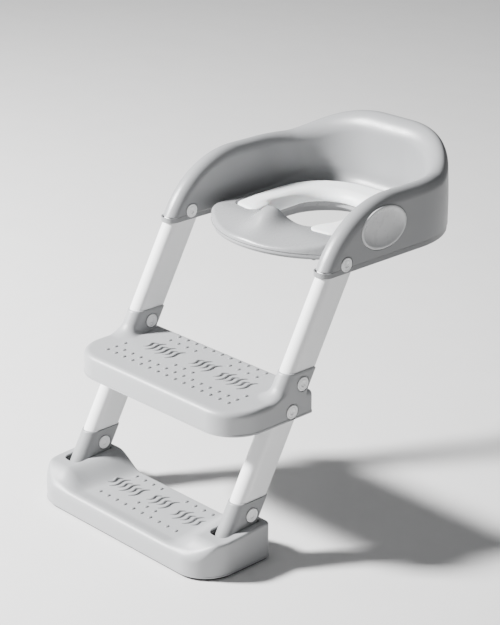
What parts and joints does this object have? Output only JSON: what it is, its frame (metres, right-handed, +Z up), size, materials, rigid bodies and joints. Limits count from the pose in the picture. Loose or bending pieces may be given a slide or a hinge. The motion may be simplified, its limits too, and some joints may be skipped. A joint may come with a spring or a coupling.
{
  "type": "potty training seat with step ladder",
  "caption": "Child's potty training seat with a raised surround and a soft horseshoe cushion, on a folding two-step ladder that stands in front of a toilet.",
  "frame": {"origin": "on the floor, at the middle of the object's box", "axes": "+Z up, -Y towards the climbing child, +X to the right when looking along +Y"},
  "size_m": [0.4, 0.615, 0.5412],
  "materials": {
    "shell_grey": "satin moulded polypropylene, mid grey",
    "base_grey": "satin moulded polypropylene, mid grey",
    "ring_grey": "satin moulded polypropylene, light grey",
    "cushion_white": "soft moulded foam with a smooth white skin",
    "badge_grey": "satin, light grey with a pale rim",
    "rail_white": "glossy white tube",
    "step_grey": "satin moulded polypropylene, light cool grey",
    "socket_grey": "satin moulded polypropylene, light cool grey",
    "cap_white": "white moulded fastener",
    "nylon": "natural nylon",
    "steel": "zinc-plated steel",
    "grip_rubber": "soft grip rubber"
  },
  "bodies": {
    "seat_unit": {"surround_shell": "shell_grey", "seat_base": "base_grey", "seat_ring": "ring_grey", "seat_cushion": "cushion_white", "cushion_studs": "nylon", "side_badge_left": "badge_grey", "side_badge_right": "badge_grey", "shell_screws": "steel", "ring_screws": "steel", "toilet_grip_pads": "grip_rubber", "pivot_bolt_left": "cap_white", "pivot_bolt_right": "cap_white", "pivot_nut_left": "cap_white", "pivot_nut_right": "cap_white", "pivot_washers": "nylon"},
    "ladder": {"upper_rail_left": "rail_white", "upper_rail_right": "rail_white", "hinge_plug_left": "nylon", "hinge_plug_right": "nylon", "middle_step": "step_grey", "lower_rail_left": "rail_white", "lower_rail_right": "rail_white", "foot_socket_left": "socket_grey", "foot_socket_right": "socket_grey", "upper_ear_bolts": "cap_white", "upper_ear_nuts": "cap_white", "lower_ear_bolts": "cap_white", "lower_ear_nuts": "cap_white", "foot_bolts": "cap_white", "foot_nuts": "cap_white"},
    "base": {"base_step": "step_grey", "base_hinge_pin_left": "steel", "base_hinge_pin_right": "steel", "base_grip_strip": "grip_rubber"}
  },
  "joints": [
    {"name": "ladder_fold", "type": "hinge", "parent": "seat_unit", "child": "ladder", "pos_m": [0, -0.0105, 0.415], "axis": [1, 0, 0], "range_deg": [0, 98]},
    {"name": "base_tilt", "type": "hinge", "parent": "ladder", "child": "base", "pos_m": [0, -0.22868, 0.0375], "axis": [1, 0, 0], "range_deg": [-15, 2]}
  ]
}
